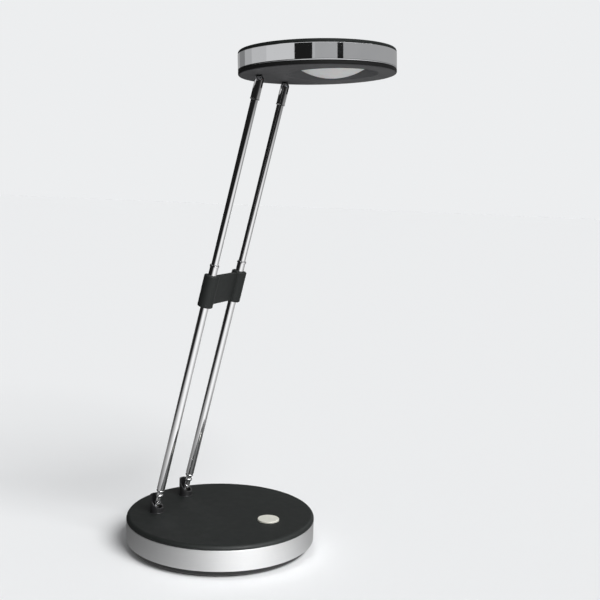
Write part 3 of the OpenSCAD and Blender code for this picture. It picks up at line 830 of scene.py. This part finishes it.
def makeSpring():
    # a coil of wire that shortens as the button goes down
    spec = springSpec
    low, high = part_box("button_spring")
    height = (high.z - low.z) / mm
    clearSelection()
    bpy.ops.mesh.primitive_circle_add(vertices=spec["wireSides"], radius=spec["wire"] * mm,
                                      rotation=(math.pi / 2, 0, 0), location=(spec["radius"] * mm, 0, 0))
    spring = bpy.context.object
    spring.name = "buttonSpring"
    bpy.ops.object.transform_apply(location=True, rotation=True, scale=True)
    coil = spring.modifiers.new("coil", "SCREW")
    coil.screw_offset = (height - 2 * spec["endRoom"] * spec["wire"]) / spec["turns"] * mm
    coil.iterations = spec["turns"]
    coil.steps = coil.render_steps = spec["steps"]
    bpy.ops.object.modifier_apply(modifier="coil")
    bpy.ops.object.mode_set(mode="EDIT")
    bpy.ops.mesh.select_all(action="SELECT")
    bpy.ops.mesh.fill_holes(sides=0)
    bpy.ops.mesh.select_all(action="SELECT")
    bpy.ops.mesh.normals_make_consistent(inside=False)
    bpy.ops.object.mode_set(mode="OBJECT")
    movePiece(spring, Matrix.Translation((buttonX * mm, 0, low.z + spec["endRoom"] * spec["wire"] * mm)))
    finishPiece(spring, "plain_steel", "base", "button_spring")
    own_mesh(spring)


inletSpec = {
    "bodySize": (9, 11),                 # width and height
    "bodyRange": (3.6, 13.5),            # where it starts and ends, inwards from the band
    "bodyRound": 0.4,
    "collar": ((0, 0.1), (3.6, 0.1), (4.2, 0.6), (4.2, 5), (0, 5)),
    "bore": (3.0, 19.8, 0),              # radius, length and middle
    "pinHole": (1.0, 6, 12),
    "edgeRound": 0.12,
}


def makeInlet():
    spec = inletSpec
    halfY, halfZ = (size / 2 for size in spec["bodySize"])
    front, back = (-baseRadius + inwards for inwards in spec["bodyRange"])
    height = bandSpec["inletHeight"]
    body = block("inletSocket", (front, -halfY, height - halfZ), (back, halfY, height + halfZ))
    softenEdges(body, spec["bodyRound"], 2)
    collar = turnOutline("collar", spec["collar"], 64)
    inwards = Matrix.Rotation(math.pi / 2, 4, "Y")
    movePiece(collar, Matrix.Translation((-baseRadius * mm, 0, height * mm)) @ inwards)
    combine(body, [collar], "UNION")
    for radius, length, centre in (spec["bore"], spec["pinHole"]):
        combine(body, [bar("bore", radius, length, (-baseRadius + centre, 0, height), "X")])
    softenEdges(body, spec["edgeRound"], 2)
    finishPiece(body, "satin_black_plastic", "base", "dc_jack")


rodEndSpec = {
    "eye": 1.7,
    "stem": 1.0,
    "ball": (2.7, 2.55),             # place along the arm and radius
    "neck": 2.0,
    "beads": ((8.4, 2.75, 0.62), (11.9, 2.8, 0.50)),
    "tubeStart": 13.4,
    "shoulder": 2.5,
    "spigot": 2.48,
    "spigotLength": 12,
    "steps": 110,
    "pinHole": 0.83,
}
pinCutter = 12             # length of the bars that cut the pins' holes


def placeTwins(piece, title, node, body):
    # one copy on each rod of the arm
    for name, side in sides.items():
        twin = copyPiece(piece, title + name.capitalize())
        movePiece(twin, onArm(side))
        finishPiece(twin, "chrome", body, node + name)
    bpy.data.objects.remove(piece)


def rodEndRadius(along):
    # the fattest of the round shapes that the turned fitting is made of, at one place along it
    spec = rodEndSpec
    found = [spec["neck"] if along > spec["ball"][0] else spec["stem"] if along > 0 else 0]
    rounds = [(0, spec["eye"], 1), (*spec["ball"], 1), *spec["beads"]]
    for place, radius, squash in rounds:
        inside = 1 - ((along - place) / (radius * squash)) ** 2
        if inside > 0:
            found.append(radius * math.sqrt(inside))
    if along >= spec["beads"][1][0]:
        found.append(spec["shoulder"])
    return max(found)


def makeRodEnds():
    spec = rodEndSpec
    start, end = -spec["eye"], spec["tubeStart"]
    outline = []
    for step in range(spec["steps"] + 1):
        place = start + (end - start) * (1 - math.cos(math.pi * step / spec["steps"])) / 2
        outline.append((rodEndRadius(place), place))
    spigotEnd = end + spec["spigotLength"]
    outline += [(spec["spigot"], end), (spec["spigot"], spigotEnd), (0, spigotEnd)]
    fitting = turnOutline("rodEnd", outline, 64)
    combine(fitting, [bar("pinHole", spec["pinHole"], pinCutter, (0, 0, 0), "Y", 32)])
    placeTwins(fitting, "rodEnd", "rod_end_", "lower_arm")


tubeSpec = {
    "lowerRadius": 2.8,
    "upperRadius": 2.35,
    "wall": 0.3,
    "lowerStart": 13.4,
    "lowerEnd": 175.1,
    "collarHeight": 1.5,
    "collarLip": 0.5,
    "collarOver": 0.3,
    "upperStart": 153.1,
    "upperEnd": 6.2,       # short of the upper hinge
    "bevel": 0.08,
    "collarRound": 0.35,
    "collarBevel": 0.1,
    "slideGap": 0.05,      # between the upper tube and the collar
}


def makeTubes():
    spec = tubeSpec
    radius, start, end = spec["lowerRadius"], spec["lowerStart"], spec["lowerEnd"] - spec["collarLip"]
    inner, bevel = radius - spec["wall"], spec["bevel"]
    outline = [(radius - bevel, start), (radius, start + bevel), (radius, end), (inner, end), (inner, start)]
    placeTwins(turnRing("lowerTube", outline, 64), "lowerTube", "lower_tube_", "lower_arm")
    over, bore = radius + spec["collarOver"], spec["upperRadius"] + spec["slideGap"]
    top, low = spec["lowerEnd"], spec["lowerEnd"] - spec["collarHeight"]
    edge, bevel = spec["collarRound"], spec["collarBevel"]
    outline = arc(over - edge, top - edge, edge, 0, 90, 5)
    outline += [(bore + bevel, top), (bore, top - bevel), (bore, end), (radius, end)]
    outline += [(radius, low), (over - bevel, low), (over, low + bevel)]
    placeTwins(turnRing("tubeCollar", outline, 64), "tubeCollar", "tube_collar_", "lower_arm")
    radius, start, end = spec["upperRadius"], spec["upperStart"], armReach - spec["upperEnd"]
    inner = radius - spec["wall"]
    outline = [(radius, start), (radius, end), (inner, end), (inner, start)]
    placeTwins(turnRing("upperTube", outline, 64), "upperTube", "upper_tube_", "upper_arm")


clipSpec = {
    "barrelRange": (146.0, 167.8),
    "barrel": 5.15,
    "edgeRound": 0.8,
    "webRange": (147.1, 167.0),
    "webHalf": 1.25,
    "bore": 2.82,
    "cutter": 60,
    "blend": 0.35,
}


def makeClip():
    spec = clipSpec
    low, high = spec["barrelRange"]
    edge = spec["edgeRound"]
    web = block("bridgeClip", (-spec["webHalf"], -rodY, spec["webRange"][0]),
                (spec["webHalf"], rodY, spec["webRange"][1]))
    outline = [(0, low)] + arc(spec["barrel"] - edge, low + edge, edge, -90, 0, 5)
    outline += arc(spec["barrel"] - edge, high - edge, edge, 0, 90, 5) + [(0, high)]
    barrels = []
    bores = []
    for side in sides.values():
        barrel = flattenFaces(turnOutline("barrel", outline, 96))
        barrels.append(movePiece(barrel, Matrix.Translation((0, side * rodY * mm, 0))))
        bores.append(bar("bore", spec["bore"], spec["cutter"], (0, side * rodY, (low + high) / 2), steps=64))
    combine(web, barrels, "UNION")
    combine(web, bores)
    softenEdges(web, spec["blend"], 3, 40)
    movePiece(web, onArm())
    finishPiece(web, "soft_black_plastic", "lower_arm", "bridge_clip")


sleeveSpec = {
    "radius": 2.9,
    "start": 12.6,         # down from the upper hinge, like boreEnd and slotStart
    "lip": 0.15,
    "lipHeight": 0.8,
    "lipBevel": 0.12,
    "bore": 2.36,
    "boreEnd": 6,
    "bevel": 0.1,
    "slotHalf": (5, 1.15),
    "slotStart": 4.6,
    "pinHole": 0.8,
    "edgeRound": 0.12,
}


def makeSleeves():
    spec = sleeveSpec
    radius, bore, bevel, lipBevel = spec["radius"], spec["bore"], spec["bevel"], spec["lipBevel"]
    lip = radius + spec["lip"]
    start, boreEnd = armReach - spec["start"], armReach - spec["boreEnd"]
    lipEnd = start + spec["lipHeight"]
    outline = [(bore + bevel, start), (lip - lipBevel, start), (lip, start + lipBevel)]
    outline += [(lip, lipEnd - bevel), (radius, lipEnd)]
    outline += arc(0, armReach, radius, 0, 90, 14)
    outline += [(0, boreEnd), (bore, boreEnd), (bore, start + bevel), (bore + bevel, start)]
    sleeve = turnOutline("forkSleeve", outline, 64)
    halfX, halfY = spec["slotHalf"]
    slot = block("slot", (-halfX, -halfY, armReach - spec["slotStart"]), (halfX, halfY, armReach + halfX))
    combine(sleeve, [slot, bar("pinHole", spec["pinHole"], pinCutter, (0, 0, armReach), "Y", 32)])
    softenEdges(sleeve, spec["edgeRound"], 2, 50)
    placeTwins(sleeve, "forkSleeve", "fork_sleeve_", "upper_arm")


headSpec = {
    "tilt": 2.7,
    "ringHeight": 10.7,
    "ringWall": 1.5,
    "ringRound": (1.0, 0.6),   # the lower and the upper edge
    "capHeight": 2.0,
    "capRound": 1.6,
    "capInset": 0.1,
    "rim": 2.6,                # height of the lower cover's rim, under the ring
    "rimRound": 1.1,
    "wall": 1.8,
    "skirtGap": 0.05,          # between the ring and the covers' skirts
    "skirtEnd": 6,             # height where the two skirts meet
    "slotHalf": (1.75, 1.05),
    "slotReach": (-1, 2),
    "edgeRound": 0.25,
    "lensX": 10.5,
}
headRadius = width("head_ring", 1) / 2
headSkirt = headRadius - headSpec["ringWall"] - headSpec["skirtGap"]


def makeHeadRing():
    spec = headSpec
    low, high = spec["ringRound"]
    outline = arc(headRadius - low, low, low, -80, 0, 8)
    outline += arc(headRadius - high, spec["ringHeight"] - high, high, 0, 80, 8)
    outline += [(headRadius - spec["ringWall"], spec["ringHeight"]), (headRadius - spec["ringWall"], 0)]
    ring = movePiece(turnRing("headRing", outline, 256), onHead())
    finishPiece(ring, "chrome", "head", "head_ring")
    ring.data.materials[0] = ringFinish


def makeHeadTop():
    spec = headSpec
    top, outer, edge = spec["ringHeight"] + spec["capHeight"], headRadius - spec["capInset"], spec["capRound"]
    inner, ceiling = headSkirt - spec["wall"], top - spec["wall"]
    outline = [(0, top)] + arc(outer - edge, top - edge, edge, 90, 0)
    outline += [(outer, spec["ringHeight"]), (headSkirt, spec["ringHeight"])]
    outline += [(headSkirt, spec["skirtEnd"]), (inner, spec["skirtEnd"]), (inner, ceiling), (0, ceiling)]
    cover = movePiece(flattenFaces(turnOutline("headTopCover", outline, 192)), onHead())
    finishPiece(cover, "soft_black_plastic", "head", "head_top_cover")
    cover.data.materials[0] = capFinish


dishSpec = {
    "radius": 28.9,        # at the underside
    "inner": 25.0,         # at the dish's own depth
    "depth": 5.6,
    "overcut": (0.95, -1),     # the cutting cone goes on below the underside, and is wider there
    "seat": 24.6,
    "step": 0.6,
    "ledge": 26.75,
    "wall": (1.2, 1.3),    # round the cone, below and above
    "wallRange": (0.5, 1.6),
    "cutters": (12, 6),
}
lensSpec = {
    "sphere": 40.0,
    "proud": 2.3,
    "rimGap": 0.15,
    "flange": 26.6,
    "flangeInner": 2,
    "flangeHeight": 1.2,
    "wall": 1.6,
}


def cone(name, lowRadius, highRadius, low, high, x):
    clearSelection()
    place = (x * mm, 0, (low + high) / 2 * mm)
    bpy.ops.mesh.primitive_cone_add(vertices=160, radius1=lowRadius * mm, radius2=highRadius * mm,
                                    depth=(high - low) * mm, location=place)
    piece = bpy.context.object
    piece.name = name
    bpy.ops.object.transform_apply(location=True, rotation=True, scale=True)
    return piece


def makeHeadBottom():
    spec, dish = headSpec, dishSpec
    under, edge = -spec["rim"], spec["rimRound"]
    inner, floor, end = headSkirt - spec["wall"], under + spec["wall"], spec["skirtEnd"]
    outline = [(0, under)] + arc(headRadius - edge, under + edge, edge, -90, 0, 6)
    outline += [(headRadius, 0), (headSkirt, 0), (headSkirt, end), (inner, end), (inner, floor), (0, floor)]
    shell = flattenFaces(turnOutline("headBottomCover", outline, 192))
    x, top = spec["lensX"], under + dish["depth"]
    seat = top + dish["step"]
    (lowWall, highWall), (lowEnd, highEnd) = dish["wall"], dish["wallRange"]
    combine(shell, [cone("dishWall", dish["radius"] + lowWall, dish["ledge"] + highWall,
                         under + lowEnd, seat + highEnd, x)], "UNION")
    wider, deeper = dish["overcut"]
    seatCutter, ledgeCutter = dish["cutters"]
    combine(shell, [cone("dish", dish["radius"] + wider, dish["inner"], under + deeper, top, x),
                    bar("seat", dish["seat"], seatCutter, (x, 0, seat), steps=160),
                    bar("ledge", dish["ledge"], ledgeCutter, (x, 0, seat + ledgeCutter / 2), steps=160)])
    slots = []
    halfX, halfY = spec["slotHalf"]
    low, high = spec["slotReach"]
    for side in sides.values():
        place = onHead().inverted() @ Vector((armTop.x, side * rodY * mm, armTop.z)) / mm
        slots.append(block("slot", (place.x - halfX, place.y - halfY, under + low),
                           (place.x + halfX, place.y + halfY, high)))
    combine(shell, slots)
    softenEdges(shell, spec["edgeRound"], 3, 40)
    movePiece(shell, onHead())
    finishPiece(shell, "head_grey_plastic", "head", "head_bottom_cover")


def makeLens():
    spec, dish = lensSpec, dishSpec
    under = -headSpec["rim"]
    outer, inner = spec["sphere"], spec["sphere"] - spec["wall"]
    centre = under - spec["proud"] + outer
    rimRadius = dish["seat"] - spec["rimGap"]
    flangeInner = rimRadius - spec["flangeInner"]
    seat = under + dish["depth"] + dish["step"]
    flangeTop = seat + spec["flangeHeight"]
    sweep = math.degrees(math.asin(rimRadius / outer))
    innerSweep = math.degrees(math.asin(flangeInner / inner))
    outline = arc(0, centre, outer, -90, -90 + sweep, 32)
    outline += [(rimRadius, seat), (spec["flange"], seat)]
    outline += [(spec["flange"], flangeTop), (flangeInner, flangeTop)]
    outline += arc(0, centre, inner, -90 + innerSweep, -90, 20)
    lens = turnOutline("diffuserLens", outline, 160)
    movePiece(lens, onHead() @ Matrix.Translation((headSpec["lensX"] * mm, 0, 0)))
    finishPiece(lens, "frosted_lens", "head", "diffuser_lens")


lugSpec = {
    "width": 3.4,
    "thickness": 2.0,
    "overlap": 1,          # how far the lug goes into its round foot
    "foot": 3.6,
    "footHeight": 1.6,
    "pinHole": 0.83,
    "edgeRound": 0.15,
}


def makeLugs():
    spec = lugSpec
    under = -headSpec["rim"] + headSpec["wall"]
    half, thin = spec["width"] / 2, spec["thickness"] / 2
    pin = onHead().inverted() @ armTop / mm
    lug = block("lug", (-half, -thin, pin.z), (half, thin, under + spec["overlap"]))
    nose = bar("nose", half, spec["thickness"], (0, 0, pin.z), "Y", 48)
    foot = bar("foot", spec["foot"], spec["footHeight"], (0, 0, under + spec["footHeight"] / 2))
    combine(lug, [nose, foot], "UNION")
    combine(lug, [bar("pinHole", spec["pinHole"], pinCutter, (0, 0, pin.z), "Y", 32)])
    softenEdges(lug, spec["edgeRound"], 2, 50)
    for name, side in sides.items():
        twin = copyPiece(lug, "headLug" + name.capitalize())
        movePiece(twin, onHead() @ Matrix.Translation((pin.x * mm, side * rodY * mm, 0)))
        finishPiece(twin, "soft_black_plastic", "head", "head_lug_" + name)
    bpy.data.objects.remove(lug)


def dressNodes():
    # every CAD part gets its slot's finish; the inner parts are shown in their CAD shapes
    slots = {part["node"]: part["material_slot"] for part in frame["record"]["subparts"]}
    for name, node in frame["nodes"].items():
        node.data.materials.clear()
        node.data.materials.append(finishes[slots[name]])


placeCamera()
setLights()
makeFloor()
for cardName, card in cardSpec.items():
    makeCard(cardName, **card)
makePool()
print("camera, floor and light are set")
finishes = makeFinishes()
ringFinish = ringChrome()
capFinish = softBlack("capBlack", 0.08)
dressNodes()
print("finishes are made")
for makePiece in (makeTopCover, makeTrimBand, makeBottomPan, makeFootPad,
                  makePods, makeButton, makeSpring, makeInlet):
    makePiece()
print("base is made")
for makePiece in (makeRodEnds, makeTubes, makeClip, makeSleeves):
    makePiece()
print("arm is made")
for makePiece in (makeHeadRing, makeHeadTop, makeHeadBottom, makeLens, makeLugs):
    makePiece()
print("head is made")
